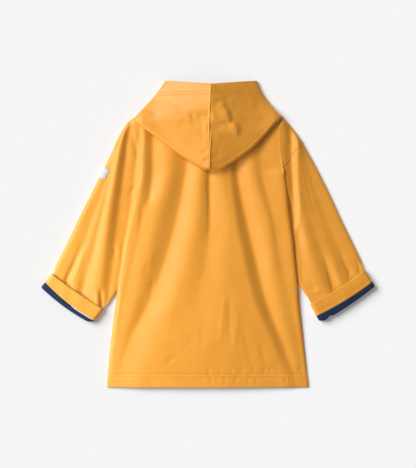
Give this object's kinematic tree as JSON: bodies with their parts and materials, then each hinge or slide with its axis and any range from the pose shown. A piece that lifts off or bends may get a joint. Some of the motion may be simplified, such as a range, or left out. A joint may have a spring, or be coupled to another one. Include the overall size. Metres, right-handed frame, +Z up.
{
  "type": "kids raincoat",
  "caption": "Child's hooded yellow raincoat with a navy jersey lining, laid flat with its back up and both cuffs turned up.",
  "frame": {"origin": "on the floor, below the middle of the coat's outline", "axes": "+Z up from the floor, through the coat's back; +Y from the hem to the hood; +X towards the wearer's right"},
  "size_m": [0.6653, 0.612, 0.0451],
  "materials": {
    "coated_cloth": "satin",
    "jersey_lining": "matte",
    "tab_cloth": "satin",
    "snap_plastic": "gloss"
  },
  "bodies": {
    "root": {"back": "coated_cloth", "front_left": "coated_cloth", "front_right": "coated_cloth", "sleeve_left": "coated_cloth", "sleeve_right": "coated_cloth", "cuff_left": "coated_cloth", "cuff_right": "coated_cloth", "cuff_lining_left": "jersey_lining", "cuff_lining_right": "jersey_lining", "hood_left": "coated_cloth", "hood_right": "coated_cloth", "sleeve_tab": "tab_cloth", "snap_1": "snap_plastic", "snap_2": "snap_plastic", "snap_3": "snap_plastic", "snap_4": "snap_plastic", "snap_5": "snap_plastic"}
  },
  "joints": []
}
